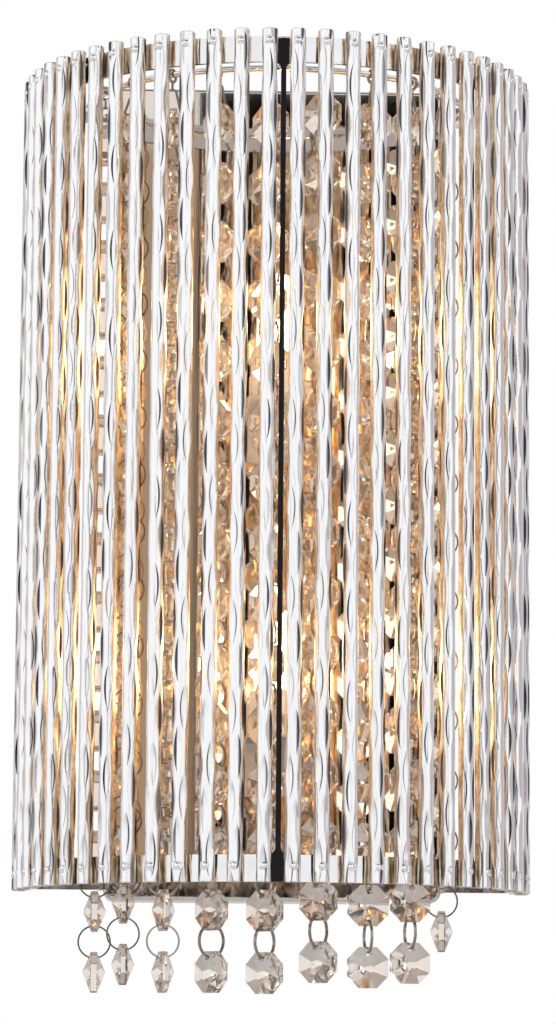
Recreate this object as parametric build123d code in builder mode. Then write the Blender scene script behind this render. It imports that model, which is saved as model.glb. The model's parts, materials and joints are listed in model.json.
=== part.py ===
"""Crystal wall sconce: a half drum of round metal rods riveted to two half-ring bands,
held off a shallow mirror-polished wall pan, round two capsule lamps and a curtain of
octagon crystals that hangs from an inner rail.

Millimetres, +Z up. The origin is on the wall, at the centre of the pan's back, and the
front faces -Y. Angles round the shade are measured at ring_y from the -Y direction,
positive towards +X.
"""

import os
from math import cos, radians, sin, sqrt

from build123d import *

os.makedirs("parts", exist_ok=True)

# ---------------------------------------------------------------- driving dimensions

# wall pan
plate_width = 131.0
plate_height = 322.0
plate_depth = 25.0
plate_wall = 1.2
plate_corner = 4.0
plate_edge_round = 1.5

# shade: rods outside two half-ring bands
rod_radius = 3.0
rod_rise = 4.0
rod_circle_radius = 98.6
rod_count = 30
rod_chamfer = 0.4
ring_wall_gap = 5.0
band_height = 10.0
band_thickness = 1.5
band_back_gap = 2.5
top_band_drop = 2.0
bottom_band_lift = 0.3
strut_width = 2.0
strut_flare = 3.0

# rivets that hold each rod to each band
rivet_radius = 1.0
rivet_head_radius = 1.5
rivet_head_height = 0.9
rivet_tail_radius = 1.4
rivet_tail_height = 0.6
rivet_fit = 0.05
spot_face_depth = 0.4
top_rivet_drop = 4.8
bottom_rivet_lift = 6.0

# arms between the pan's sides and the bands
arm_height = 8.0
arm_thickness = 2.0
arm_front_y = -16.0
arm_tab_length = 12.0
arm_band_tab = 9.0

# rail that carries the crystals, and the hooks on it
rail_radius = 76.0
rail_wire_radius = 1.2
rail_rise = 2.5
hook_eye_radius = 2.4
hook_wire_radius = 0.6
bail_wire_radius = 0.5
bail_reach = 3.6
bail_top_reach = 1.4
bail_bend = 0.8
bail_top_gap = 6.2
link_clearance = 0.2

# octagon crystals and the flat rings that join them
crystal_across = 15.4
crystal_middle = 8.8
crystal_edge = 2.4
crystal_hole_radius = 1.2
crystal_hole_offset = 5.25
ring_radius = 6.12
ring_width = 1.0
ring_thickness = 0.6

# strands, from the left as seen from the front
strand_first_angle = -64.0
strand_pitch_angle = 15.2
strand_turns = (-90.0, -85.0, -80.0, -48.0, -37.0, -34.0, 11.0, 16.0, 88.0)
strand_hooks = (15.6, 12.9, 15.9, 15.9, 16.2, 12.0, 13.7, 11.7, 22.4)
strand_crystal_counts = (15, 15, 15, 15, 15, 15, 15, 15, 14)

# lamps
lamp_y = -50.0
lamp_end_distance = 95.5
lamp_glow_height = 16.0
glass_radius = 7.0
glass_wall = 0.9
glass_length = 31.0
glass_gap = 1.0
pinch_width = 14.0
pinch_depth = 4.5
pinch_height = 14.0
pin_spacing = 9.0
pin_length = 6.5
pin_width = 3.0
pin_thickness = 0.9
filament_radius = 1.3
filament_length = 14.0
filament_wire = 0.35

# lamp sockets and their brackets
socket_radius = 10.0
socket_height = 17.0
socket_recess = 8.0
socket_round = 1.0
socket_fit = 0.5
bracket_width = 22.0
bracket_sheet = 1.5
bracket_flange = 22.0
bracket_bend = 3.0
bracket_nose = 11.5
bracket_screw_spacing = 12.0

# fasteners
screw_radius = 2.0
screw_hole_radius = 2.2
screw_head_radius = 3.5
screw_head_height = 2.4
screw_length = 6.0
screw_slot = 0.8
nut_across = 7.0
nut_height = 3.0

# wall bracket inside the pan
wall_bar_height = 30.0
wall_bar_thickness = 2.0
wall_bar_ear = 16.0
wall_bar_fit = 0.25
box_screw_spacing = 88.9
box_slot_length = 12.0
box_slot_width = 4.6
wire_hole_radius = 6.0
terminal_length = 20.0
terminal_width = 14.0
terminal_height = 11.0
terminal_x = 24.0
terminal_pitch = 10.0
terminal_bore_radius = 2.4
terminal_corner = 1.5
terminal_screw_radius = 1.6
earth_screw_x = -26.0
grommet_outer_radius = 5.0
grommet_hole_radius = 2.5
grommet_neck_radius = 4.0
grommet_lip = 1.2
grommet_shelf_gap = 1.0

# leads from the terminal block through the grommets to the lamp sockets
lead_radius = 0.9
lead_spacing = 2.0
lead_bend = 6.0
lead_slope = 22.0
lead_run = 13.0
lead_straight = 5.0
lead_end_gap = 1.4
lead_bore_radius = 1.2

# ---------------------------------------------------------------- derived sizes

ring_y = -ring_wall_gap
plate_front_y = -plate_depth
plate_side_x = plate_width / 2
plate_top_z = plate_height / 2
# the rods are as long as the pan is tall, and stand a little higher
rod_length = plate_height
rod_bottom_z = -plate_top_z + rod_rise
rod_top_z = rod_bottom_z + rod_length
band_outer = rod_circle_radius - rod_radius
band_inner = band_outer - band_thickness
top_band_z = rod_top_z - top_band_drop - band_height
bottom_band_z = rod_bottom_z + bottom_band_lift
top_rivet_z = rod_top_z - top_rivet_drop
bottom_rivet_z = rod_bottom_z + bottom_rivet_lift
rod_pitch_angle = 180.0 / (rod_count - 1)
rod_angles = [(index - (rod_count - 1) / 2) * rod_pitch_angle for index in range(rod_count)]
rail_z = top_band_z + rail_rise


def shade_point(radius, angle, z=0.0):
    """A point at an angle round the shade's own axis."""
    return (radius * sin(radians(angle)), ring_y - radius * cos(radians(angle)), z)


def round_the_shade(angles, z=0.0):
    """One location for each angle, turned about the shade's axis."""
    return [Location((0, ring_y, z), (0, 0, angle)) for angle in angles]


def dome(base_radius, height):
    """The radius of the sphere that a shallow round head is part of."""
    return (base_radius**2 + height**2) / (2 * height)


def finish(piece, name):
    """Name one piece and write it."""
    piece.part.label = name
    export_step(piece.part, f"parts/{name}.step")


# ---------------------------------------------------------------- fasteners, made once

# A screw stands on z = 0 with its head above and its shank below.
with BuildPart() as screw:
    with BuildSketch(Plane.XZ):
        with BuildLine():
            head_start = (screw_head_radius, 0)
            head_top = (0, screw_head_height)
            Line((0, -screw_length), (screw_radius, -screw_length))
            Line((screw_radius, -screw_length), (screw_radius, 0))
            Line((screw_radius, 0), head_start)
            RadiusArc(head_start, head_top, -dome(screw_head_radius, screw_head_height))
            Line(head_top, (0, -screw_length))
        make_face()
    revolve(axis=Axis.Z)
    with Locations((0, 0, screw_head_height)):
        Box(2 * screw_head_radius, screw_slot, screw_head_height, mode=Mode.SUBTRACT)

with BuildPart() as nut:
    with BuildSketch(Plane.XY):
        RegularPolygon(nut_across / 2, 6, major_radius=False)
        Circle(screw_radius, mode=Mode.SUBTRACT)
    extrude(amount=nut_height)

# ---------------------------------------------------------------- wall pan

arm_zs = (plate_top_z - plate_corner - arm_height, bottom_band_z)
arm_screw_y = arm_front_y + arm_thickness + arm_tab_length / 2
arm_screw_points = [
    (side * (plate_side_x + arm_thickness), arm_screw_y, z + arm_height / 2)
    for z in arm_zs
    for side in (-1, 1)
]
side_screw_y = -wall_bar_ear / 2 - wall_bar_thickness / 2
lamp_glow_z = plate_top_z - lamp_end_distance
lamp_zs = (lamp_glow_z, -lamp_glow_z)
shelf_tops = [glow - lamp_glow_height - socket_height for glow in lamp_zs]
flange_screw_drop = bracket_flange / 2 + bracket_bend
flange_screw_x = bracket_screw_spacing / 2
grommet_rise = grommet_outer_radius + grommet_lip + grommet_shelf_gap

with BuildPart() as backplate:
    with BuildSketch(Plane.XZ):
        RectangleRounded(plate_width, plate_height, plate_corner)
    extrude(amount=plate_depth)
    fillet(backplate.faces().sort_by(Axis.Y)[0].edges(), plate_edge_round)
    with BuildSketch(Plane.XZ):
        RectangleRounded(
            plate_width - 2 * plate_wall,
            plate_height - 2 * plate_wall,
            plate_corner - plate_wall,
        )
    extrude(amount=plate_depth - plate_wall, mode=Mode.SUBTRACT)
    # side holes for the wall bar's screws and the arms' screws
    side_holes = [(0, side_screw_y, 0)]
    side_holes += [(0, arm_screw_y, z + arm_height / 2) for z in arm_zs]
    with Locations(*side_holes):
        Cylinder(screw_hole_radius, 2 * plate_width, rotation=(0, 90, 0), mode=Mode.SUBTRACT)
    # front holes for the lamp brackets and the lead grommets
    front_holes = [
        (side * flange_screw_x, plate_front_y, top - flange_screw_drop)
        for top in shelf_tops
        for side in (-1, 1)
    ]
    with Locations(*front_holes):
        Cylinder(screw_hole_radius, 4 * plate_wall, rotation=(90, 0, 0), mode=Mode.SUBTRACT)
    with Locations(*[(0, plate_front_y, top + grommet_rise) for top in shelf_tops]):
        Cylinder(grommet_neck_radius, 4 * plate_wall, rotation=(90, 0, 0), mode=Mode.SUBTRACT)
finish(backplate, "backplate")

with BuildPart() as grommet:
    with BuildSketch(Plane.XY):
        Circle(grommet_outer_radius)
    extrude(amount=plate_wall / 2 + grommet_lip, both=True)
    with BuildSketch(Plane.XY):
        Circle(grommet_outer_radius)
        Circle(grommet_neck_radius, mode=Mode.SUBTRACT)
    extrude(amount=plate_wall / 2, both=True, mode=Mode.SUBTRACT)
    with BuildSketch(Plane.XY):
        Circle(grommet_hole_radius)
    extrude(amount=plate_wall + grommet_lip, both=True, mode=Mode.SUBTRACT)

with BuildPart() as lead_grommets:
    grommet_y = plate_front_y + plate_wall / 2
    with Locations(
        *[Location((0, grommet_y, top + grommet_rise), (90, 0, 0)) for top in shelf_tops]
    ):
        add(grommet.part)
finish(lead_grommets, "lead_grommets")

# ---------------------------------------------------------------- wall bar in the pan

wall_bar_x = plate_side_x - plate_wall - wall_bar_fit

with BuildPart() as wall_bracket:
    with BuildSketch(Plane.XY.offset(-wall_bar_height / 2)):
        Rectangle(2 * wall_bar_x, wall_bar_ear, align=(Align.CENTER, Align.MAX))
        with Locations((0, -wall_bar_thickness)):
            Rectangle(
                2 * (wall_bar_x - wall_bar_thickness),
                wall_bar_ear,
                align=(Align.CENTER, Align.MAX),
                mode=Mode.SUBTRACT,
            )
    extrude(amount=wall_bar_height)
    with BuildSketch(Plane.XZ):
        Circle(wire_hole_radius)
        with GridLocations(box_screw_spacing, 0, 2, 1):
            SlotOverall(box_slot_length, box_slot_width)
        with Locations((earth_screw_x, 0)):
            Circle(screw_radius)
    extrude(amount=wall_bar_thickness, mode=Mode.SUBTRACT)
    with Locations((0, side_screw_y, 0)):
        Cylinder(screw_radius, 2 * plate_width, rotation=(0, 90, 0), mode=Mode.SUBTRACT)
finish(wall_bracket, "wall_bracket")

with BuildPart() as side_screws:
    with Locations(
        Location((plate_side_x, side_screw_y, 0), (0, 90, 0)),
        Location((-plate_side_x, side_screw_y, 0), (0, -90, 0)),
    ):
        add(screw.part)
finish(side_screws, "side_screws")

with BuildPart() as earth_screw:
    # its shank reaches only through the bar, so that it stays off the wall
    with Locations(Location((earth_screw_x, -wall_bar_thickness, 0), (90, 0, 0))):
        add(screw.part)
    with BuildSketch(Plane.XZ):
        with Locations((earth_screw_x, 0)):
            Circle(2 * screw_radius)
    extrude(amount=-screw_length, mode=Mode.SUBTRACT)
finish(earth_screw, "earth_screw")

terminal_front_y = -wall_bar_thickness - terminal_height
terminal_points = [(terminal_x + side * terminal_pitch / 2, 0) for side in (-1, 1)]

with BuildPart() as terminal_block:
    with BuildSketch(Plane.XZ.offset(wall_bar_thickness)):
        with Locations((terminal_x, 0)):
            RectangleRounded(terminal_length, terminal_width, terminal_corner)
    extrude(amount=terminal_height)
    # wire bores run up through the block, and screw bores open at its front
    with Locations(*[(x, terminal_front_y + terminal_height / 2, 0) for x, _ in terminal_points]):
        Cylinder(terminal_bore_radius, 2 * terminal_width, mode=Mode.SUBTRACT)
    with BuildSketch(Plane.XZ.offset(-terminal_front_y)):
        with Locations(*terminal_points):
            Circle(terminal_screw_radius + socket_fit)
    extrude(amount=-terminal_height / 2, mode=Mode.SUBTRACT)
finish(terminal_block, "terminal_block")

with BuildPart() as terminal_screws:
    with BuildSketch(Plane.XZ.offset(-terminal_front_y - terminal_height / 2)):
        with Locations(*terminal_points):
            Circle(terminal_screw_radius)
    extrude(amount=terminal_height / 2 - terminal_screw_radius / 2)
    with BuildSketch(Plane.XZ.offset(-terminal_front_y - terminal_height / 2)):
        with Locations(*terminal_points):
            Circle(terminal_screw_radius + socket_fit)
            Circle(terminal_screw_radius / 2, mode=Mode.SUBTRACT)
    extrude(amount=terminal_screw_radius / 2)
finish(terminal_screws, "terminal_screws")

# ---------------------------------------------------------------- shade bands

# One hole, drilled outwards at angle 0, and the whole half circle of them.
with BuildPart() as rivet_drill:
    with Locations((0, -rod_circle_radius, 0)):
        Cylinder(
            rivet_radius + rivet_fit,
            4 * rod_radius + 2 * band_thickness,
            rotation=(90, 0, 0),
        )


def make_band(name, bottom, rivet_z):
    """A half-ring band, drilled for one rivet through each rod."""
    with BuildPart() as band:
        with BuildSketch(Plane.XY.offset(bottom)):
            with Locations((0, ring_y)):
                Circle(band_outer)
                Circle(band_inner, mode=Mode.SUBTRACT)
            with Locations((0, -band_back_gap)):
                Rectangle(
                    3 * band_outer,
                    2 * band_outer,
                    align=(Align.CENTER, Align.MAX),
                    mode=Mode.INTERSECT,
                )
        extrude(amount=band_height)
        with Locations(*round_the_shade(rod_angles, rivet_z)):
            add(rivet_drill.part, mode=Mode.SUBTRACT)
    finish(band, name)


make_band("top_band", top_band_z, top_rivet_z)
make_band("bottom_band", bottom_band_z, bottom_rivet_z)

# The strut closes the gap between the two middle rods, and flares into each band.
strut_bottom = bottom_band_z + band_height
strut_top = top_band_z
strut_half = strut_width / 2

with BuildPart() as front_strut:
    with BuildSketch(Plane.XZ.offset(-ring_y + band_inner)):
        with BuildLine():
            RadiusArc(
                (strut_half + strut_flare, strut_top),
                (strut_half, strut_top - strut_flare),
                -strut_flare,
            )
            Line((strut_half, strut_top - strut_flare), (strut_half, strut_bottom + strut_flare))
            RadiusArc(
                (strut_half, strut_bottom + strut_flare),
                (strut_half + strut_flare, strut_bottom),
                -strut_flare,
            )
            Line((strut_half + strut_flare, strut_bottom), (0, strut_bottom))
            Line((0, strut_bottom), (0, strut_top))
            Line((0, strut_top), (strut_half + strut_flare, strut_top))
        make_face()
        mirror(about=Plane.YZ)
    extrude(amount=band_thickness)
finish(front_strut, "front_strut")

# ---------------------------------------------------------------- rods and rivets

rod_seat = sqrt(rod_radius**2 - rivet_head_radius**2)
spot_face_y = -(rod_circle_radius + rod_seat - spot_face_depth + rivet_fit)

# One rod at angle 0, relative to the shade's axis, drilled and spot-faced twice.
with BuildPart() as rod:
    with BuildSketch(Plane.XY.offset(rod_bottom_z)):
        with Locations((0, -rod_circle_radius)):
            Circle(rod_radius)
    extrude(amount=rod_length)
    chamfer(rod.edges().filter_by(GeomType.CIRCLE), rod_chamfer)
    with Locations((0, 0, top_rivet_z), (0, 0, bottom_rivet_z)):
        add(rivet_drill.part, mode=Mode.SUBTRACT)
    with BuildSketch(Plane.XZ.offset(-spot_face_y)):
        with Locations((0, top_rivet_z), (0, bottom_rivet_z)):
            Circle(rivet_head_radius + rivet_fit)
    extrude(amount=rod_radius, mode=Mode.SUBTRACT)

rod_sides = ("left", "front", "right")
for group, side in enumerate(rod_sides):
    first_rod = group * rod_count // len(rod_sides)
    next_rod = (group + 1) * rod_count // len(rod_sides)
    group_angles = rod_angles[first_rod:next_rod]
    with BuildPart() as rods:
        with Locations(*round_the_shade(group_angles)):
            add(rod.part)
    finish(rods, f"{side}_rods")

# One rivet at angle 0 and z = 0: domed head in the spot face, shank, upset tail.
with BuildPart() as rivet:
    with BuildSketch(Plane.XY):
        with BuildLine():
            head_rim = (rivet_head_radius, spot_face_y)
            head_tip = (0, spot_face_y - rivet_head_height)
            # the flat tail bears on the hollow side of the band along its rim
            tail_y = -sqrt(band_inner**2 - rivet_tail_radius**2)
            RadiusArc(head_rim, head_tip, dome(rivet_head_radius, rivet_head_height))
            Line(head_tip, (0, tail_y + rivet_tail_height))
            Line((0, tail_y + rivet_tail_height), (rivet_tail_radius, tail_y + rivet_tail_height))
            Line((rivet_tail_radius, tail_y + rivet_tail_height), (rivet_tail_radius, tail_y))
            Line((rivet_tail_radius, tail_y), (rivet_radius, tail_y))
            Line((rivet_radius, tail_y), (rivet_radius, spot_face_y))
            Line((rivet_radius, spot_face_y), head_rim)
        make_face()
    revolve(axis=Axis.Y)

for name, z in (("top_rivets", top_rivet_z), ("bottom_rivets", bottom_rivet_z)):
    with BuildPart() as rivets:
        with Locations(*round_the_shade(rod_angles, z)):
            add(rivet.part)
    finish(rivets, name)

# ---------------------------------------------------------------- arms

# An arm is a bent strip: a tab on the pan's side, a bar outwards, a tab on the band.
with BuildPart() as side_arms:
    for arm_z in arm_zs:
        # the tab on the pan, and the bar, cut to the inside of the band
        with BuildSketch(Plane.XY.offset(arm_z)):
            with Locations((plate_side_x, arm_front_y)):
                Rectangle(band_outer, arm_thickness, align=(Align.MIN, Align.MIN))
                Rectangle(
                    arm_thickness,
                    arm_thickness + arm_tab_length,
                    align=(Align.MIN, Align.MIN),
                )
            with Locations((0, ring_y)):
                Circle(band_inner, mode=Mode.INTERSECT)
        extrude(amount=arm_height)
        # the tab that follows the band
        with BuildSketch(Plane.XY.offset(arm_z)):
            with Locations((0, ring_y)):
                Circle(band_inner)
                Circle(band_inner - arm_thickness, mode=Mode.SUBTRACT)
            with Locations((band_inner, arm_front_y + arm_thickness)):
                Rectangle(
                    band_inner,
                    arm_band_tab + arm_thickness,
                    align=(Align.CENTER, Align.MAX),
                    mode=Mode.INTERSECT,
                )
        extrude(amount=arm_height)
    mirror(about=Plane.YZ)
    with Locations(*arm_screw_points):
        Cylinder(screw_hole_radius, 4 * arm_thickness, rotation=(0, 90, 0), mode=Mode.SUBTRACT)
    # room for the tails of the rivets behind the tabs
    tail_hole = Location((0, -band_inner, 0), (90, 0, 0))
    for rivet_z in (top_rivet_z, bottom_rivet_z):
        with Locations(*[place * tail_hole for place in round_the_shade(rod_angles, rivet_z)]):
            Cylinder(rivet_tail_radius + rivet_fit, 4 * arm_thickness, mode=Mode.SUBTRACT)
finish(side_arms, "side_arms")

with BuildPart() as arm_screws:
    with Locations(
        *[Location((x, y, z), (0, 90 if x > 0 else -90, 0)) for x, y, z in arm_screw_points]
    ):
        add(screw.part)
finish(arm_screws, "arm_screws")

with BuildPart() as arm_nuts:
    nut_x = plate_side_x - plate_wall
    with Locations(
        *[
            Location((nut_x if x > 0 else -nut_x, y, z), (0, -90 if x > 0 else 90, 0))
            for x, y, z in arm_screw_points
        ]
    ):
        add(nut.part)
finish(arm_nuts, "arm_nuts")

# ---------------------------------------------------------------- crystal rail

with BuildPart() as crystal_rail:
    with BuildSketch(Plane.XZ.offset(-ring_y)):
        with Locations((rail_radius, rail_z)):
            Circle(rail_wire_radius)
    revolve(axis=Axis((0, ring_y, 0), (0, 0, -1)), revolution_arc=180)
    split(bisect_by=Plane.XZ.offset(-arm_front_y), keep=Keep.TOP)
finish(crystal_rail, "crystal_rail")

# ---------------------------------------------------------------- crystals and links



def make_octagon(hole_zs):
    """One octagon, face to the front, with a flat at the top and at the bottom."""
    with BuildPart() as octagon:
        with BuildSketch(Plane.XZ):
            RegularPolygon(crystal_across / 2, 8, major_radius=False, rotation=22.5)
        extrude(amount=crystal_edge / 2, both=True)
        for side in (-1, 1):
            with BuildSketch(Plane.XZ.offset(side * crystal_edge / 2)) as octagon_rim:
                RegularPolygon(crystal_across / 2, 8, major_radius=False, rotation=22.5)
            tip = Vertex(0, -side * crystal_middle / 2, 0)
            loft(sections=[octagon_rim.sketch.faces()[0], tip])
        with Locations(*[(0, 0, z) for z in hole_zs]):
            Cylinder(
                crystal_hole_radius,
                2 * crystal_middle,
                rotation=(90, 0, 0),
                mode=Mode.SUBTRACT,
            )
    return octagon


# A strand crystal has a hole at both ends, and the pendant at the foot only at its top.
strand_octagon = make_octagon((crystal_hole_offset, -crystal_hole_offset))
pendant_octagon = make_octagon((crystal_hole_offset,))

# One joining ring, standing in the plane that holds the crystal's own axis.
with BuildPart() as link_ring:
    with BuildSketch(Plane.YZ):
        Circle(ring_radius + ring_thickness / 2)
        Circle(ring_radius - ring_thickness / 2, mode=Mode.SUBTRACT)
    extrude(amount=ring_width / 2, both=True)

# How far the ring's band sits below the middle of the hole that it passes through:
# it touches the mouths of the hole, where it has already curved away.
hole_depth = crystal_edge + (crystal_middle - crystal_edge) * (
    1 - 2 * crystal_hole_offset / crystal_across
)
ring_sag = ring_radius - sqrt(ring_radius**2 - (hole_depth / 2) ** 2)
band_room = sqrt(crystal_hole_radius**2 - (ring_width / 2) ** 2) - ring_thickness / 2
ring_drop = band_room - link_clearance - ring_sag
crystal_pitch = 2 * (crystal_hole_offset + ring_radius + ring_drop)
bail_drop = crystal_hole_radius - bail_wire_radius - link_clearance
eye_drop = hook_eye_radius - hook_wire_radius - rail_wire_radius - link_clearance


def make_links(number, angle, turn, hook_length, ring_zs):
    """The hook on the rail, with its bail, and all the rings of one strand."""
    x, y, _ = shade_point(rail_radius, angle)
    pin_z = rail_z - hook_length
    bail_top = hook_length - bail_top_gap
    across = (-sin(radians(turn)), cos(radians(turn)), 0)
    sideways = (cos(radians(turn)), sin(radians(turn)), 0)
    with BuildPart() as links:
        with Locations(Location((x, y, rail_z - eye_drop), (0, 0, angle))):
            Torus(hook_eye_radius, hook_wire_radius, rotation=(0, 90, 0))
        with BuildLine(Plane((x, y, pin_z), x_dir=across, z_dir=sideways)) as bail:
            FilletPolyline(
                (bail_reach, 0),
                (bail_top_reach, bail_top),
                (-bail_top_reach, bail_top),
                (-bail_reach, 0),
                radius=bail_bend,
                close=True,
            )
        with BuildSketch(Plane(origin=bail.line @ 0, z_dir=bail.line % 0)):
            Circle(bail_wire_radius)
        sweep(path=bail.wires()[0])
        stem_bottom = pin_z + bail_top
        stem_top = rail_z - eye_drop - hook_eye_radius
        with BuildSketch(Plane.XY.offset(stem_bottom)):
            with Locations((x, y)):
                Circle(bail_wire_radius)
        extrude(amount=stem_top - stem_bottom)
        with Locations(*[Location((x, y, z), (0, 0, turn)) for z in ring_zs]):
            add(link_ring.part)
    finish(links, f"strand_{number}_links")


def make_crystals(name, octagon, angle, turn, zs):
    """Some crystals of one strand, each a solid of its own."""
    x, y, _ = shade_point(rail_radius, angle)
    with BuildPart() as crystals:
        with Locations(*[Location((x, y, z), (0, 0, turn)) for z in zs]):
            add(octagon.part)
    finish(crystals, name)


for index, (turn, hook_length, count) in enumerate(
    zip(strand_turns, strand_hooks, strand_crystal_counts)
):
    number = index + 1
    angle = strand_first_angle + index * strand_pitch_angle
    first_z = rail_z - hook_length - bail_drop - crystal_hole_offset
    crystal_zs = [first_z - step * crystal_pitch for step in range(count)]
    ring_zs = [z - crystal_pitch / 2 for z in crystal_zs[:-1]]
    make_links(number, angle, turn, hook_length, ring_zs)
    make_crystals(
        f"strand_{number}_crystals", strand_octagon, angle, turn, crystal_zs[:-1]
    )
    make_crystals(f"pendant_{number}_crystal", pendant_octagon, angle, turn, crystal_zs[-1:])
    hole_z = crystal_zs[-1] + crystal_hole_offset
    print(f"strand {number}: angle {angle:.1f}, rail point {shade_point(rail_radius, angle, rail_z)}")
    print(f"pendant {number}: hole at z {hole_z:.3f}")

# ---------------------------------------------------------------- lamp brackets

bracket_reach_y = lamp_y - bracket_nose

for place, top in zip(("upper", "lower"), shelf_tops):
    with BuildPart() as lamp_bracket:
        with BuildSketch(Plane.YZ.offset(-bracket_width / 2)):
            with BuildLine():
                Polyline(
                    (bracket_reach_y, top - bracket_sheet),
                    (bracket_reach_y, top),
                    (plate_front_y, top),
                    (plate_front_y, top - bracket_flange),
                    (plate_front_y - bracket_sheet, top - bracket_flange),
                    (plate_front_y - bracket_sheet, top - bracket_sheet),
                    close=True,
                )
            make_face()
        extrude(amount=bracket_width)
        fillet(
            lamp_bracket.edges().filter_by(Axis.X).group_by(Axis.Z)[-1].sort_by(Axis.Y)[-1],
            bracket_sheet,
        )
        fillet(lamp_bracket.faces().sort_by(Axis.Y)[0].edges().filter_by(Axis.Z), bracket_bend)
        with Locations((0, lamp_y, top)):
            Cylinder(screw_hole_radius, 4 * bracket_sheet, mode=Mode.SUBTRACT)
        with Locations(
            *[(side * flange_screw_x, plate_front_y, top - flange_screw_drop) for side in (-1, 1)]
        ):
            Cylinder(
                screw_hole_radius,
                4 * bracket_sheet,
                rotation=(90, 0, 0),
                mode=Mode.SUBTRACT,
            )
    finish(lamp_bracket, f"{place}_lamp_bracket")

with BuildPart() as bracket_screws:
    bracket_screw_y = plate_front_y - bracket_sheet
    with Locations(
        *[Location((x, bracket_screw_y, z), (90, 0, 0)) for x, _, z in front_holes]
    ):
        add(screw.part)
finish(bracket_screws, "bracket_screws")

with BuildPart() as bracket_nuts:
    bracket_nut_y = plate_front_y + plate_wall
    with Locations(*[Location((x, bracket_nut_y, z), (-90, 0, 0)) for x, _, z in front_holes]):
        add(nut.part)
finish(bracket_nuts, "bracket_nuts")

with BuildPart() as socket_screws:
    with Locations(
        *[Location((0, lamp_y, top - bracket_sheet), (180, 0, 0)) for top in shelf_tops]
    ):
        add(screw.part)
finish(socket_screws, "socket_screws")

# ---------------------------------------------------------------- lamp sockets and lamps

screw_bore_depth = screw_length - bracket_sheet

# A ceramic socket on z = 0: a stepped body, a slot for the lamp's pinch, pin slots.
with BuildPart() as socket:
    with BuildSketch(Plane.XY):
        Circle(socket_radius)
    extrude(amount=socket_height)
    fillet(socket.edges().filter_by(GeomType.CIRCLE), socket_round)
    with BuildSketch(Plane.XY.offset(socket_height)):
        Rectangle(pinch_width + 2 * socket_fit, pinch_depth + 2 * socket_fit)
    extrude(amount=-socket_recess, mode=Mode.SUBTRACT)
    with BuildSketch(Plane.XY.offset(socket_height - socket_recess)):
        with GridLocations(pin_spacing, 0, 2, 1):
            Rectangle(pin_width + 2 * socket_fit, pin_thickness + 2 * socket_fit)
    extrude(amount=-pin_length - socket_fit, mode=Mode.SUBTRACT)
    with BuildSketch(Plane.XY):
        Circle(screw_radius)
    extrude(amount=screw_bore_depth, mode=Mode.SUBTRACT)
    # two bores from the back to the pin slots, for the leads
    with Locations(
        *[(side * pin_spacing / 2, socket_radius / 2, grommet_rise) for side in (-1, 1)]
    ):
        Cylinder(lead_bore_radius, socket_radius, rotation=(90, 0, 0), mode=Mode.SUBTRACT)

# A capsule lamp, with z = 0 at the bottom of its flat pinch.
glass_start = socket_recess + glass_gap
glass_top = glass_start + glass_length
glass_inner = glass_radius - glass_wall

with BuildPart() as lamp_glass:
    with BuildSketch(Plane.XZ):
        with BuildLine():
            shoulder_z = glass_start + glass_radius
            crown_z = glass_top - glass_radius
            RadiusArc((0, glass_start), (glass_radius, shoulder_z), -glass_radius)
            Line((glass_radius, shoulder_z), (glass_radius, crown_z))
            RadiusArc((glass_radius, crown_z), (0, glass_top), -glass_radius)
            Line((0, glass_top), (0, glass_start))
        make_face()
    revolve(axis=Axis.Z)
    with BuildSketch(Plane.XY):
        RectangleRounded(pinch_width, pinch_depth, pinch_depth / 4)
    extrude(amount=pinch_height)
    # the gas space, closed all round
    with BuildSketch(Plane.XZ):
        with BuildLine():
            seal_z = pinch_height + glass_wall
            Line((0, seal_z), (glass_inner, seal_z))
            Line((glass_inner, seal_z), (glass_inner, crown_z))
            RadiusArc((glass_inner, crown_z), (0, crown_z + glass_inner), -glass_inner)
            Line((0, crown_z + glass_inner), (0, seal_z))
        make_face()
    revolve(axis=Axis.Z, mode=Mode.SUBTRACT)

with BuildPart() as lamp_pins:
    with BuildSketch(Plane.XY):
        with GridLocations(pin_spacing, 0, 2, 1):
            Rectangle(pin_width, pin_thickness)
    extrude(amount=-pin_length)

# The filament: an upright loop that stands on the seal.
filament_half = filament_radius + 2 * filament_wire

with BuildPart() as lamp_filament:
    with BuildLine(Plane.XZ) as filament_path:
        FilletPolyline(
            (-filament_half, seal_z),
            (-filament_half, seal_z + filament_length),
            (filament_half, seal_z + filament_length),
            (filament_half, seal_z),
            radius=filament_half * 0.8,
        )
    with BuildSketch(Plane(origin=filament_path.line @ 0, z_dir=filament_path.line % 0)):
        Circle(filament_wire)
    sweep(path=filament_path.wires()[0])

for place, top in zip(("upper", "lower"), shelf_tops):
    socket_place = Location((0, lamp_y, top))
    lamp_place = Location((0, lamp_y, top + socket_height - socket_recess))
    for piece, name, location in (
        (socket, f"{place}_lamp_socket", socket_place),
        (lamp_glass, f"{place}_lamp_glass", lamp_place),
        (lamp_pins, f"{place}_lamp_pins", lamp_place),
        (lamp_filament, f"{place}_lamp_filament", lamp_place),
    ):
        with BuildPart() as placed:
            with Locations(location):
                add(piece.part)
        finish(placed, name)

# ---------------------------------------------------------------- leads

lead_bore_y = terminal_front_y + terminal_height / 2
lead_start_z = terminal_screw_radius + lead_end_gap
lead_end_y = lamp_y + pin_thickness / 2 + socket_fit + lead_end_gap

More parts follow.
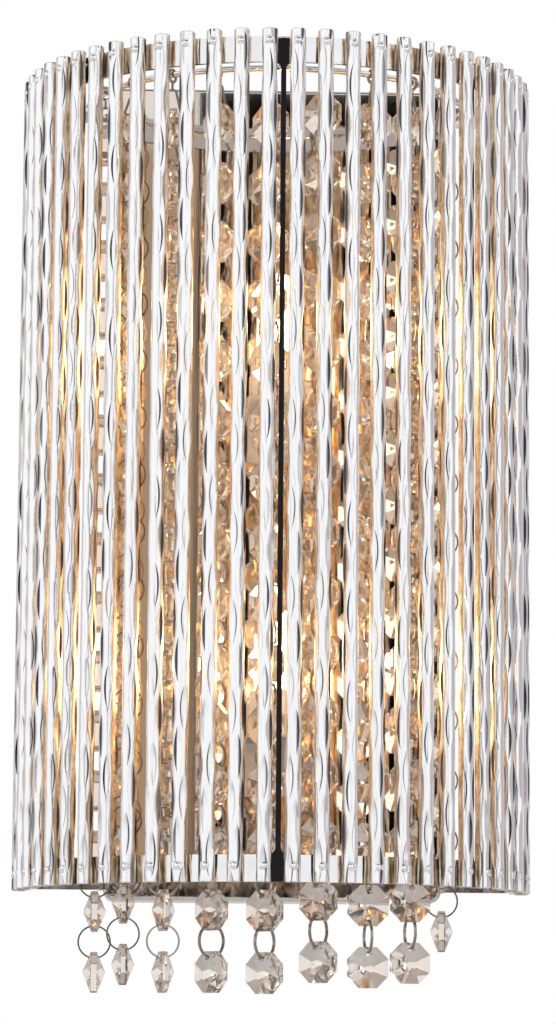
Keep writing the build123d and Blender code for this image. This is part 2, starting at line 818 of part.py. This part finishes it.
# Each lead leaves the terminal block along its bore, straight for one bend at least,
# slopes to the grommet, passes through it beside its twin, and runs on into the back
# of the socket.
with BuildPart() as lamp_leads:
    for away, top in zip((1, -1), shelf_tops):
        hole_z = top + grommet_rise
        slope_z = away * max(away * hole_z - lead_slope, lead_start_z + lead_bend)
        for side in (-1, 1):
            bore_x = terminal_x + side * terminal_pitch / 2
            hole_x = side * lead_spacing / 2
            pin_x = side * pin_spacing / 2
            with BuildLine() as lead_route:
                FilletPolyline(
                    (bore_x, lead_bore_y, away * lead_start_z),
                    (bore_x, lead_bore_y, slope_z),
                    (hole_x, plate_front_y + lead_run, hole_z),
                    (hole_x, plate_front_y - lead_straight, hole_z),
                    (pin_x, lamp_y + socket_radius + lead_straight, hole_z),
                    (pin_x, lead_end_y, hole_z),
                    radius=lead_bend,
                )
            with BuildSketch(Plane(origin=lead_route.line @ 0, z_dir=lead_route.line % 0)):
                Circle(lead_radius)
            sweep(path=lead_route.wires()[0])
finish(lamp_leads, "lamp_leads")
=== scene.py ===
"""Looks of the crystal wall sconce, built round its CAD frame. Metres, +Z up, wall at Y = 0."""

import json
import random
from math import atan2, cos, floor, pi, radians, sin, sqrt, tau

import bmesh
import bpy
from mathutils import Matrix, Vector


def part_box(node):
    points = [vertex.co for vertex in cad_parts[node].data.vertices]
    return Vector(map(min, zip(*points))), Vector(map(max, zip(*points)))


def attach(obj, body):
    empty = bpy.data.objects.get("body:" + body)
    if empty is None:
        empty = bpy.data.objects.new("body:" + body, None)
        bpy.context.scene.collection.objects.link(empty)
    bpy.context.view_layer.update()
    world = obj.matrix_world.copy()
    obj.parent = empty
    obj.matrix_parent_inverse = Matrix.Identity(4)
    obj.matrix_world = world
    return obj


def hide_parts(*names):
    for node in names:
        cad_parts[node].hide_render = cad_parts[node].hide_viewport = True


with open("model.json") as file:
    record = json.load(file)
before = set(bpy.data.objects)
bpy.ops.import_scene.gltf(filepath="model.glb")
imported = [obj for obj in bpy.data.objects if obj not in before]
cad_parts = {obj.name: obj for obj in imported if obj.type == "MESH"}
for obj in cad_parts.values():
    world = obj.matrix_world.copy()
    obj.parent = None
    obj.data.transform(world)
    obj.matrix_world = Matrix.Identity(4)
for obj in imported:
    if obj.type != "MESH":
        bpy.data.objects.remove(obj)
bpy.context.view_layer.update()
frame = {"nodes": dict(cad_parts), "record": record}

MM = 0.001

# ---------------------------------------------------------------- driving values

# camera: the photograph's place and angle, in the part's frame
CAMERA_PLACE = Vector((-42.6, -1527.0, -218.5)) * MM
CAMERA_HEADING = radians(1.672)
CAMERA_TILT = radians(7.945)
CAMERA_ROLL = radians(-0.42)
CAMERA_FOCAL_PIXELS = 3864.8
PHOTO_HEIGHT_PIXELS = 1024
CAMERA_CLIP = 10 * MM
SENSOR_MM = 36.0

# rods
ROD_COUNT = 30
ROD_RADIUS = 3.0 * MM
ROD_CHAMFER = 0.4 * MM
SHARP_ROD_EDGE = radians(28)
ROD_SEED = 7

# leaf-shaped cuts along the rods, in columns round each rod: a floor point is a share of a
# leaf's half angle and of its depth, and a wall is no wider than its limit, another such share
LEAF_COLUMNS = 8
LEAF_PITCH = 33.4 * MM
LEAF_LENGTH = 16.4 * MM
LEAF_DEPTH = 0.80 * MM
LEAF_HALF_ANGLE = radians(33.0)
LEAF_END_ANGLE = radians(6.0)
LEAF_WALL_ANGLE = radians(11.0)
LEAF_WALL_LIMIT = 0.6
LEAF_FLOOR = ((-1.0, 0.0), (-0.3, 0.45), (0.35, 0.8))
POINTS_PER_COLUMN = len(LEAF_FLOOR) + 3
LEFT_WALL_SHARE = 0.4
LEAF_PHASE_SCATTER = 0.03
LEAF_DEPTH_SCATTER = (0.8, 1.1)
SPARE_LEAVES = 3
ROWS_PER_LEAF = 18

# how much painted shade darkens one leaf's steep wall, from 0 to 1
LEAF_WALL_PAINTED_SHADE = (0.3, 0.8, 1.0, 1.0, 1.0)

# a rod's side that faces the lamps, with painted warm lamp light and a hazier polish: the angles from
# its outward side where it starts and is full
INNER_START = radians(72.0)
INNER_END = radians(100.0)
INNER_HAZE = 0.16

# spot face under each rivet: its rows, and the stretch without other rows, in its radii
SPOT_FACE_RADIUS = 1.6 * MM
SPOT_FACE_DEPTH = 0.75 * MM
SPOT_FACE_ROWS = (-1.02, -0.98, -0.8, -0.4, 0, 0.4, 0.8, 0.98, 1.02)
SPOT_FACE_CLEAR = 1.3

# crystals: the eased edges between their facets
CRYSTAL_EASE = 0.12 * MM
CRYSTAL_EDGE = radians(25)

# clouds and grain in the materials: how much coarser a cloud is, their detail and the relief
METAL_CLOUD = 8
DULL_CLOUD = 6
CLOUD_DETAIL = 4.0
GRAIN_DETAIL = 5.0
METAL_BUMP = 0.5
DULL_BUMP = 0.4

# stage: the floor, and the light that matt surfaces get from the white surround
FLOOR_Z = -0.62
FLOOR_HALF = 6.0
SURROUND = 0.5

# studio cards: the three in front meet at a split and a foot
FRONT_CARDS = (0.0, -1.5)
CARD_SPLIT = -0.02
CARD_FOOT = -0.08
GAP_CARD_Y = -0.1105

# ray length from which a card is seen: the pan mirrors the front cards but the foremost rods
# don't, and the strut and the middle of the bands mirror the gap card but those rods don't
PLATE_ONLY = 1.43
GAP_ONLY = 0.007
CARD_FADE = 0.002

# lights
LAMP_LIGHT_POWER = 0.2
LAMP_LIGHT_COLOUR = (1.0, 0.70, 0.40)
LAMP_LIGHT_RADIUS = 6 * MM
SHADE_MIDDLE = (0, -0.05, 0)

# ---------------------------------------------------------------- sizes from the frame

BAND_LOW, BAND_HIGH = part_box("top_band")
BAND_RADIUS = (BAND_HIGH.x - BAND_LOW.x) / 2
RING_Y = BAND_LOW.y + BAND_RADIUS
ROD_CIRCLE = BAND_RADIUS + ROD_RADIUS
ROD_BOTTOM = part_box("front_rods")[0].z
ROD_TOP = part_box("front_rods")[1].z
RIVET_ZS = [sum(corner.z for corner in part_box(node)) / 2 for node in ("top_rivets", "bottom_rivets")]


# ---------------------------------------------------------------- material helpers


def new_material(name):
    material = bpy.data.materials.new(name)
    material.use_nodes = True
    return material.node_tree, material.node_tree.nodes["Principled BSDF"], material


def add_node(tree, kind, **values):
    """A new node, with its named inputs or its own settings given as keywords."""
    node = tree.nodes.new(kind)
    for key, value in values.items():
        name = key.replace("_", " ")
        if hasattr(node, key):
            setattr(node, key, value)
        else:
            node.inputs[name].default_value = value
    return node


def noise(tree, scale, detail=3.0, stretch=(1, 1, 1), rough=0.5):
    """Noise in object coordinates, stretched along an axis where its factor is small."""
    place = add_node(tree, "ShaderNodeTexCoord")
    mapping = add_node(tree, "ShaderNodeMapping")
    mapping.inputs["Scale"].default_value = stretch
    texture = add_node(tree, "ShaderNodeTexNoise", Scale=scale, Detail=detail, Roughness=rough)
    tree.links.new(place.outputs["Object"], mapping.inputs["Vector"])
    tree.links.new(mapping.outputs["Vector"], texture.inputs["Vector"])
    return texture.outputs["Fac"]


def spread(tree, factor, low, high, start=0.3, end=0.7):
    """Map a factor to a range of values."""
    node = add_node(tree, "ShaderNodeMapRange")
    node.inputs["From Min"].default_value = start
    node.inputs["From Max"].default_value = end
    node.inputs["To Min"].default_value = low
    node.inputs["To Max"].default_value = high
    tree.links.new(factor, node.inputs["Value"])
    return node.outputs["Result"]


def blend_colours(tree, factor, first, second, start=0.3, end=0.7):
    """A blend from one plain colour to another by a factor."""
    ramp = add_node(tree, "ShaderNodeValToRGB")
    ramp.color_ramp.elements[0].position = start
    ramp.color_ramp.elements[0].color = (*first, 1)
    ramp.color_ramp.elements[1].position = end
    ramp.color_ramp.elements[1].color = (*second, 1)
    tree.links.new(factor, ramp.inputs["Fac"])
    return ramp.outputs["Color"]


def mix_colours(tree, factor, first, second):
    """A blend from one colour socket to another by a factor."""
    mix = add_node(tree, "ShaderNodeMix", data_type="RGBA")
    tree.links.new(first, mix.inputs["A"])
    tree.links.new(second, mix.inputs["B"])
    tree.links.new(factor, mix.inputs["Factor"])
    return mix.outputs["Result"]


def bump(tree, height, shader, strength, distance):
    node = add_node(tree, "ShaderNodeBump", Strength=strength, Distance=distance)
    tree.links.new(height, node.inputs["Height"])
    tree.links.new(node.outputs["Normal"], shader.inputs["Normal"])


# ---------------------------------------------------------------- materials


def metal(name, dark, light, rough, scale, stretch, relief):
    """A metal whose tone, polish and surface vary with stretched noise. Relief is in metres."""
    tree, shader, material = new_material(name)
    shader.inputs["Metallic"].default_value = 1.0
    cloud = noise(tree, scale / METAL_CLOUD, CLOUD_DETAIL, stretch)
    grain = noise(tree, scale, GRAIN_DETAIL, stretch)
    tree.links.new(blend_colours(tree, cloud, dark, light), shader.inputs["Base Color"])
    tree.links.new(spread(tree, cloud, *rough), shader.inputs["Roughness"])
    bump(tree, grain, shader, METAL_BUMP, relief)
    return material


def make_rod_aluminium():
    """Bright cut aluminium: fine streaks along the rod, painted shade on the steep walls of the
    leaves (red in the rod tones), and on the side that faces the lamps a painted warm lamp
    light with a hazier polish (green)."""
    material = metal(
        "rod_aluminium",
        dark=(0.93, 0.93, 0.95),
        light=(0.98, 0.98, 0.985),
        rough=(0.16, 0.26),
        scale=2600,
        stretch=(1, 1, 0.06),
        relief=0.04 * MM,
    )
    tree = material.node_tree
    shader = tree.nodes["Principled BSDF"]
    tones = add_node(tree, "ShaderNodeAttribute", attribute_name="rod_painted_shade_and_light")
    split = add_node(tree, "ShaderNodeSeparateColor")
    tree.links.new(tones.outputs["Color"], split.inputs["Color"])
    colour = shader.inputs["Base Color"].links[0].from_socket
    speckle = noise(tree, scale=420, detail=3.0, stretch=(1, 1, 0.45), rough=0.65)
    # painted warm lamp light on the side that faces the lamps, carried in the green tone
    painted_warm_light = blend_colours(
        tree, speckle, first=(0.60, 0.38, 0.20), second=(0.98, 0.86, 0.66), start=0.38, end=0.60
    )
    # painted shade: the steep walls of the leaves are coloured near black, in place of the dark they
    # mirror
    wall = blend_colours(tree, speckle, first=(0.05, 0.055, 0.07), second=(0.10, 0.105, 0.13))
    colour = mix_colours(tree, split.outputs["Green"], colour, painted_warm_light)
    colour = mix_colours(tree, split.outputs["Red"], colour, wall)
    tree.links.new(colour, shader.inputs["Base Color"])
    polish = shader.inputs["Roughness"].links[0].from_socket
    haze = add_node(tree, "ShaderNodeMath", operation="MULTIPLY_ADD")
    haze.inputs[1].default_value = INNER_HAZE
    tree.links.new(split.outputs["Green"], haze.inputs[0])
    tree.links.new(polish, haze.inputs[2])
    tree.links.new(haze.outputs["Value"], shader.inputs["Roughness"])
    return material


def make_crystal():
    tree, shader, material = new_material("crystal")
    shader.inputs["Base Color"].default_value = (0.88, 0.81, 0.75, 1)
    shader.inputs["Transmission Weight"].default_value = 0.94
    shader.inputs["IOR"].default_value = 1.62
    shader.inputs["Roughness"].default_value = 0.0
    cloud = noise(tree, scale=90, detail=2.0)
    tree.links.new(spread(tree, cloud, low=0.0, high=0.03), shader.inputs["Roughness"])
    return material


def make_lamp_glass():
    tree, shader, material = new_material("lamp_glass")
    shader.inputs["Base Color"].default_value = (1.0, 0.97, 0.92, 1)
    shader.inputs["Transmission Weight"].default_value = 1.0
    shader.inputs["IOR"].default_value = 1.45
    shader.inputs["Emission Color"].default_value = (1.0, 0.80, 0.50, 1)
    shader.inputs["Emission Strength"].default_value = 2.6
    cloud = noise(tree, scale=200)
    tree.links.new(spread(tree, cloud, low=0.0, high=0.05), shader.inputs["Roughness"])
    return material


def make_filament():
    tree, shader, material = new_material("filament")
    shader.inputs["Base Color"].default_value = (0.30, 0.28, 0.26, 1)
    shader.inputs["Metallic"].default_value = 1.0
    shader.inputs["Emission Color"].default_value = (1.0, 0.74, 0.42, 1)
    shader.inputs["Emission Strength"].default_value = 30.0
    grain = noise(tree, scale=4000)
    tree.links.new(spread(tree, grain, low=0.3, high=0.5), shader.inputs["Roughness"])
    return material


def dull(name, dark, light, rough, scale, relief, coat=0.0):
    """A moulded or fired material: slightly clouded colour over a fine grain."""
    tree, shader, material = new_material(name)
    cloud = noise(tree, scale / DULL_CLOUD, CLOUD_DETAIL)
    grain = noise(tree, scale, GRAIN_DETAIL)
    tree.links.new(blend_colours(tree, cloud, dark, light), shader.inputs["Base Color"])
    tree.links.new(spread(tree, grain, *rough), shader.inputs["Roughness"])
    shader.inputs["Coat Weight"].default_value = coat
    bump(tree, grain, shader, DULL_BUMP, relief)
    return material


ALONG_Z = (1, 1, 0.05)
EVEN = (1, 1, 1)
materials = {
    "rod_aluminium": make_rod_aluminium(),
    "chrome": metal(
        "chrome",
        dark=(0.80, 0.80, 0.82),
        light=(0.90, 0.90, 0.91),
        rough=(0.03, 0.07),
        scale=900,
        stretch=EVEN,
        relief=0.01 * MM,
    ),
    "mirror_steel": metal(
        "mirror_steel",
        dark=(0.70, 0.64, 0.58),
        light=(0.76, 0.70, 0.64),
        rough=(0.02, 0.05),
        scale=700,
        stretch=ALONG_Z,
        relief=0.004 * MM,
    ),
    "link_metal": metal(
        "link_metal",
        dark=(0.30, 0.27, 0.25),
        light=(0.42, 0.38, 0.35),
        rough=(0.14, 0.25),
        scale=1800,
        stretch=EVEN,
        relief=0.02 * MM,
    ),
    "zinc_steel": metal(
        "zinc_steel",
        dark=(0.55, 0.56, 0.58),
        light=(0.72, 0.73, 0.74),
        rough=(0.28, 0.45),
        scale=1500,
        stretch=EVEN,
        relief=0.02 * MM,
    ),
    "earth_green": metal(
        "earth_green",
        dark=(0.03, 0.22, 0.08),
        light=(0.06, 0.34, 0.13),
        rough=(0.25, 0.40),
        scale=1500,
        stretch=EVEN,
        relief=0.02 * MM,
    ),
    "terminal_brass": metal(
        "terminal_brass",
        dark=(0.60, 0.44, 0.20),
        light=(0.76, 0.60, 0.30),
        rough=(0.22, 0.38),
        scale=1500,
        stretch=EVEN,
        relief=0.02 * MM,
    ),
    "crystal": make_crystal(),
    "lamp_glass": make_lamp_glass(),
    "filament": make_filament(),
    "ceramic": dull(
        "ceramic",
        dark=(0.78, 0.77, 0.73),
        light=(0.86, 0.85, 0.82),
        rough=(0.30, 0.50),
        scale=1400,
        relief=0.03 * MM,
        coat=0.3,
    ),
    "grommet": dull(
        "grommet",
        dark=(0.03, 0.03, 0.032),
        light=(0.06, 0.06, 0.062),
        rough=(0.55, 0.75),
        scale=1800,
        relief=0.04 * MM,
    ),
    "lead_sleeve": dull(
        "lead_sleeve",
        dark=(0.74, 0.72, 0.68),
        light=(0.82, 0.80, 0.76),
        rough=(0.45, 0.60),
        scale=2500,
        relief=0.05 * MM,
    ),
    "terminal": dull(
        "terminal",
        dark=(0.80, 0.79, 0.75),
        light=(0.88, 0.87, 0.84),
        rough=(0.35, 0.50),
        scale=1600,
        relief=0.02 * MM,
    ),
}

for subpart in frame["record"]["subparts"]:
    for slot in frame["nodes"][subpart["node"]].material_slots:
        slot.material = materials[subpart["material_slot"]]

# ---------------------------------------------------------------- rods


def leaf_section(height, turn, lean, phases, depths):
    """The (angle, radius) points of each column of leaves, round one rod at one height.

    A leaf is a scoop with a steep wall on the side that it leans to. Its floor rises
    from the foot of that wall to the other side. A column's last point is in the middle
    of the land between it and the next column.
    """
    points = []
    for column in range(LEAF_COLUMNS):
        middle = turn + column * tau / LEAF_COLUMNS
        swell = leaf_swell(height, phases[column])
        outer = leaf_reach(swell)
        following = leaf_reach(leaf_swell(height, phases[(column + 1) % LEAF_COLUMNS]))
        inner = outer - min(LEAF_WALL_ANGLE * sqrt(swell), LEAF_WALL_LIMIT * outer)
        profile = [(share * outer, depth) for share, depth in LEAF_FLOOR]
        profile += [(inner, 1.0), (outer, 0.0)]
        if lean < 0:
            profile = [(-angle, depth) for angle, depth in reversed(profile)]
        for angle, depth in profile:
            points.append((middle + angle, ROD_RADIUS - depths[column] * swell * depth))
        land = (outer + tau / LEAF_COLUMNS - following) / 2
        points.append((middle + land, ROD_RADIUS))
    return points


def leaf_number(height, phase):
    """The number of the leaf that a height belongs to, in a column that starts at a phase."""
    return floor(height / LEAF_PITCH + phase)


def leaf_swell(height, phase):
    """From 0 at a leaf's tips and between leaves to 1 at its middle."""
    along = ((height / LEAF_PITCH + phase) % 1) * LEAF_PITCH / LEAF_LENGTH
    return max(0.0, 1 - (2 * along - 1) ** 2)


def leaf_reach(swell):
    """Half the angle that a leaf spans where its swell is this."""
    return LEAF_END_ANGLE + (LEAF_HALF_ANGLE - LEAF_END_ANGLE) * swell


def row_heights():
    """Even rows along the rod between its chamfers, with finer ones at the rivets."""
    count = round((ROD_TOP - ROD_BOTTOM) / LEAF_PITCH * ROWS_PER_LEAF)
    step = (ROD_TOP - ROD_BOTTOM - 2 * ROD_CHAMFER) / count
    heights = [ROD_BOTTOM + ROD_CHAMFER + step * row for row in range(count + 1)]
    for rivet_z in RIVET_ZS:
        heights = [z for z in heights if abs(z - rivet_z) > SPOT_FACE_CLEAR * SPOT_FACE_RADIUS]
        heights += [rivet_z + share * SPOT_FACE_RADIUS for share in SPOT_FACE_ROWS]
    return sorted(heights)


def inner_share(point):
    """0 on a rod's outward side, 1 on the side that faces the lamps, where the painted warm lamp light
    and the haze go.
    """
    angle = abs(atan2(point.x, -point.y))
    share = (angle - INNER_START) / (INNER_END - INNER_START)
    return min(max(share, 0.0), 1.0)


def add_rod(mesh, tones, place, random_source):
    """One rod with its cuts, spot-faced at its two rivets, added to a mesh.

    The tones are red where the walls of the leaves get painted shade, and green on the side
    that faces the lamps, which gets painted warm lamp light and a hazier polish.
    """
    turn = random_source.uniform(0, tau)
    start = random_source.random()
    lean = -1 if random_source.random() < LEFT_WALL_SHARE else 1
    phases = [
        start + column / 2 + random_source.uniform(-LEAF_PHASE_SCATTER, LEAF_PHASE_SCATTER)
        for column in range(LEAF_COLUMNS)
    ]
    depths = [LEAF_DEPTH * random_source.uniform(*LEAF_DEPTH_SCATTER) for _ in range(LEAF_COLUMNS)]
    leaf_count = int((ROD_TOP - ROD_BOTTOM) / LEAF_PITCH) + SPARE_LEAVES
    shades = [
        [random_source.choice(LEAF_WALL_PAINTED_SHADE) for _ in range(LEAF_COLUMNS)]
        for _ in range(leaf_count)
    ]
    heights = row_heights()
    rows = []
    for z in heights:
        row = []
        for angle, radius in leaf_section(z, turn, lean, phases, depths):
            x, y = radius * sin(angle), -radius * cos(angle)
            for rivet_z in RIVET_ZS:
                if x * x + (z - rivet_z) ** 2 < SPOT_FACE_RADIUS**2:
                    y = max(y, -ROD_RADIUS + SPOT_FACE_DEPTH)
            row.append(Vector((x, y, z)))
        rows.append(row)
    for end, z in ((0, ROD_BOTTOM), (len(rows) - 1, ROD_TOP)):
        shrink = (ROD_RADIUS - ROD_CHAMFER) / ROD_RADIUS
        ring = [Vector((point.x * shrink, point.y * shrink, z)) for point in rows[end]]
        rows.insert(0 if end == 0 else len(rows), ring)
    loops = [[mesh.verts.new(place @ point) for point in row] for row in rows]
    inners = [[inner_share(point) for point in row] for row in rows]
    row_zs = [ROD_BOTTOM] + heights + [ROD_TOP]
    wall_part = len(LEAF_FLOOR) if lean > 0 else 0
    for level, (below, above) in enumerate(zip(loops, loops[1:])):
        middle_z = (row_zs[level] + row_zs[level + 1]) / 2
        for index in range(len(below)):
            after = (index + 1) % len(below)
            face = mesh.faces.new((below[index], below[after], above[after], above[index]))
            column, part = divmod(index, POINTS_PER_COLUMN)
            leaf = leaf_number(middle_z, phases[column]) - leaf_number(ROD_BOTTOM, phases[column])
            cut = leaf_swell(middle_z, phases[column]) > 0
            # painted shade on each leaf's steep wall, carried in the red tone
            dark = shades[leaf][column] if cut and part == wall_part else 0.0
            corners = ((level, index), (level, after), (level + 1, after), (level + 1, index))
            for loop, (row, side) in zip(face.loops, corners):
                loop[tones] = (dark, inners[row][side], 0.0, 1.0)
    mesh.faces.new(reversed(loops[0]))
    mesh.faces.new(loops[-1])


def make_rods(name, node, first, last, random_source):
    """The rods from one index to another, as one piece that stands for a CAD node."""
    mesh = bmesh.new()
    tones = mesh.loops.layers.float_color.new("rod_painted_shade_and_light")
    for index in range(first, last):
        angle = (index - (ROD_COUNT - 1) / 2) * pi / (ROD_COUNT - 1)
        centre = Vector((ROD_CIRCLE * sin(angle), RING_Y - ROD_CIRCLE * cos(angle), 0))
        place = Matrix.Translation(centre) @ Matrix.Rotation(angle, 4, "Z")
        add_rod(mesh, tones, place, random_source)
    data = bpy.data.meshes.new(name)
    mesh.to_mesh(data)
    mesh.free()
    data.shade_smooth()
    data.set_sharp_from_angle(angle=SHARP_ROD_EDGE)
    data.materials.append(materials["rod_aluminium"])
    piece = bpy.data.objects.new(name, data)
    bpy.context.collection.objects.link(piece)
    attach(piece, "root")
    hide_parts(node)


rod_random = random.Random(ROD_SEED)
rod_sides = ("left", "front", "right")
for group, side in enumerate(rod_sides):
    make_rods(
        f"{side}_cut_rods",
        f"{side}_rods",
        group * ROD_COUNT // len(rod_sides),
        (group + 1) * ROD_COUNT // len(rod_sides),
        rod_random,
    )

# ---------------------------------------------------------------- crystals and lamp glass

# the crystals' facet edges are eased, and neither crystals nor lamp glass stop the lamps' light
for name, node in frame["nodes"].items():
    if name.endswith(("_crystals", "_crystal")):
        bevel = node.modifiers.new("eased_edges", "BEVEL")
        bevel.width = CRYSTAL_EASE
        bevel.segments = 1
        bevel.limit_method = "ANGLE"
        bevel.angle_limit = CRYSTAL_EDGE
        bevel.harden_normals = False
        node.visible_shadow = False
    if name.endswith("lamp_glass"):
        node.visible_shadow = False

# ---------------------------------------------------------------- camera

right = Vector((cos(CAMERA_HEADING), -sin(CAMERA_HEADING), 0))
level = Vector((sin(CAMERA_HEADING), cos(CAMERA_HEADING), 0))
ahead = level * cos(CAMERA_TILT) + Vector((0, 0, sin(CAMERA_TILT)))
up = right.cross(ahead)
rolled_right = right * cos(CAMERA_ROLL) - up * sin(CAMERA_ROLL)
rolled_up = right * sin(CAMERA_ROLL) + up * cos(CAMERA_ROLL)

camera_data = bpy.data.cameras.new("camera")
camera_data.sensor_fit = "AUTO"
camera_data.sensor_width = SENSOR_MM
camera_data.lens = CAMERA_FOCAL_PIXELS / PHOTO_HEIGHT_PIXELS * SENSOR_MM
camera_data.clip_start = CAMERA_CLIP
camera = bpy.data.objects.new("camera", camera_data)
camera.matrix_world = Matrix.Translation(CAMERA_PLACE) @ Matrix(
    (rolled_right, rolled_up, -ahead)
).transposed().to_4x4()
bpy.context.collection.objects.link(camera)
bpy.context.scene.camera = camera

# ---------------------------------------------------------------- stage and light


def make_world():
    """White wherever the camera, metal or glass looks; softer as a light on matt surfaces."""
    world = bpy.data.worlds.new("studio")
    world.use_nodes = True
    tree = world.node_tree
    background = tree.nodes["Background"]
    background.inputs["Color"].default_value = (1, 1, 1, 1)
    path = add_node(tree, "ShaderNodeLightPath")
    total = path.outputs["Is Camera Ray"]
    for output in ("Is Glossy Ray", "Is Transmission Ray"):
        larger = add_node(tree, "ShaderNodeMath", operation="MAXIMUM")
        tree.links.new(total, larger.inputs[0])
        tree.links.new(path.outputs[output], larger.inputs[1])
        total = larger.outputs["Value"]
    tree.links.new(spread(tree, total, SURROUND, 1.0, 0.0, 1.0), background.inputs["Strength"])
    bpy.context.scene.world = world


def plane_object(name, centre, half_width, half_height, facing, material):
    """A flat rectangle of the stage that faces along a direction."""
    centre = Vector(centre)
    facing = Vector(facing).normalized()
    side = Vector((0, 0, 1)).cross(facing)
    side = side.normalized() if side.length > 0 else Vector((1, 0, 0))
    rise = facing.cross(side)
    corners = [
        centre + side * (half_width * a) + rise * (half_height * b)
        for a, b in ((-1, -1), (1, -1), (1, 1), (-1, 1))
    ]
    data = bpy.data.meshes.new(name)
    data.from_pydata([tuple(corner) for corner in corners], [], [(0, 1, 2, 3)])
    data.materials.append(material)
    piece = bpy.data.objects.new(name, data)
    bpy.context.collection.objects.link(piece)
    return piece


def card_material(name, colour, nearest):
    """A plain colour to a ray that comes from beyond the nearest distance, else clear."""
    tree, shader, material = new_material(name)
    shader.inputs["Base Color"].default_value = (0, 0, 0, 1)
    shader.inputs["Roughness"].default_value = 1.0
    shader.inputs["Specular IOR Level"].default_value = 0.0
    shader.inputs["Emission Color"].default_value = (*colour, 1)
    shader.inputs["Emission Strength"].default_value = 1.0
    path = add_node(tree, "ShaderNodeLightPath")
    clear = add_node(tree, "ShaderNodeBsdfTransparent")
    mix = add_node(tree, "ShaderNodeMixShader")
    far = spread(tree, path.outputs["Ray Length"], 0.0, 1.0, nearest, nearest + CARD_FADE)
    tree.links.new(far, mix.inputs["Fac"])
    tree.links.new(clear.outputs["BSDF"], mix.inputs[1])
    tree.links.new(shader.outputs["BSDF"], mix.inputs[2])
    output = tree.nodes["Material Output"]
    tree.links.new(mix.outputs["Shader"], output.inputs["Surface"])
    return material


def card(name, place, azimuth, across, upright, colour, nearest=0.0):
    """An upright studio card at a place in plan, seen only in reflections.

    It stands square to its azimuth, which is 0 in front and 90 on the right. It runs from
    across[0] to across[1] to the right of its place, as seen when the sconce is looked at
    from that azimuth, and from upright[0] to upright[1] in height. A ray shorter than the
    nearest distance passes through it.
    """
    outward = Vector((sin(radians(azimuth)), -cos(radians(azimuth)), 0))
    along = Vector((cos(radians(azimuth)), sin(radians(azimuth)), 0))
    centre = Vector((*place, sum(upright) / 2)) + along * (sum(across) / 2)
    half_sizes = (across[1] - across[0]) / 2, (upright[1] - upright[0]) / 2
    material = card_material(name, colour, nearest)
    mirrored_only(plane_object(name, centre, *half_sizes, -outward, material))


def mirrored_only(piece):
    """Let a stage piece be seen in reflections alone."""
    piece.visible_camera = False
    piece.visible_diffuse = False
    piece.visible_transmission = False
    piece.visible_shadow = False


def make_floor():
    tree, shader, material = new_material("floor")
    shader.inputs["Base Color"].default_value = (0.85, 0.85, 0.85, 1)
    shader.inputs["Roughness"].default_value = 0.9
    plane_object("floor", (0, 0, FLOOR_Z), FLOOR_HALF, FLOOR_HALF, (0, 0, 1), material)


def make_cards():
    """What the pan, the bands and the rods mirror: the dark and tan parts of the room in
    front, the gap in front of the strut, the wall, the right side and the ceiling."""
    card(
        "black_card",
        FRONT_CARDS,
        azimuth=0.0,
        across=(CARD_SPLIT, 0.19),
        upright=(CARD_FOOT, 0.535),
        colour=(0.004, 0.003, 0.003),
        nearest=PLATE_ONLY,
    )
    card(
        "tan_card",
        FRONT_CARDS,
        azimuth=0.0,
        across=(-0.22, CARD_SPLIT),
        upright=(CARD_FOOT, 0.49),
        colour=(0.50, 0.37, 0.27),
        nearest=PLATE_ONLY,
    )
    card(
        "low_card",
        FRONT_CARDS,
        azimuth=0.0,
        across=(-0.30, 0.24),
        upright=(-0.30, CARD_FOOT),
        colour=(0.006, 0.004, 0.003),
        nearest=PLATE_ONLY,
    )
    card(
        "gap_card",
        (0.0, GAP_CARD_Y),
        azimuth=0.0,
        across=(-0.003, 0.0035),
        upright=(ROD_BOTTOM, ROD_TOP),
        colour=(0.02, 0.017, 0.018),
        nearest=GAP_ONLY,
    )
    card(
        "wall_card",
        (0.0, 0.03),
        azimuth=180.0,
        across=(-1.5, 1.5),
        upright=(-0.9, 1.2),
        colour=(0.62, 0.58, 0.58),
    )
    card(
        "side_card",
        (0.34, -0.05),
        azimuth=90.0,
        across=(-0.20, 0.20),
        upright=(-0.30, 0.32),
        colour=(0.50, 0.47, 0.48),
    )
    ceiling_material = card_material("ceiling_card", colour=(0.10, 0.08, 0.07), nearest=0.0)
    mirrored_only(
        plane_object(
            "ceiling_card",
            centre=(0, -0.7, 1.2),
            half_width=0.8,
            half_height=0.5,
            facing=(0, 0, -1),
            material=ceiling_material,
        )
    )


def lamp_light(place):
    """The glow of one lamp, at its filament."""
    low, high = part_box(f"{place}_lamp_filament")
    light_data = bpy.data.lights.new(f"{place}_light", "POINT")
    light_data.energy = LAMP_LIGHT_POWER
    light_data.color = LAMP_LIGHT_COLOUR
    light_data.shadow_soft_size = LAMP_LIGHT_RADIUS
    light = bpy.data.objects.new(f"{place}_light", light_data)
    light.location = (low + high) / 2
    bpy.context.collection.objects.link(light)


def soft_light(name, place, target, size, energy):
    """A square studio light that looks at a target and is itself not mirrored."""
    light_data = bpy.data.lights.new(name, "AREA")
    light_data.shape = "RECTANGLE"
    light_data.size = size
    light_data.size_y = size
    light_data.energy = energy
    light = bpy.data.objects.new(name, light_data)
    light.location = place
    light.rotation_euler = (Vector(target) - Vector(place)).to_track_quat("-Z", "Y").to_euler()
    light.visible_glossy = False
    bpy.context.collection.objects.link(light)


make_world()
make_floor()
make_cards()
for place in ("upper", "lower"):
    lamp_light(place)
soft_light("key", place=(-1.1, -1.7, 1.2), target=SHADE_MIDDLE, size=1.2, energy=14)
soft_light("fill", place=(1.4, -1.5, 0.5), target=SHADE_MIDDLE, size=1.4, energy=8)

bpy.context.scene.view_settings.view_transform = "Standard"
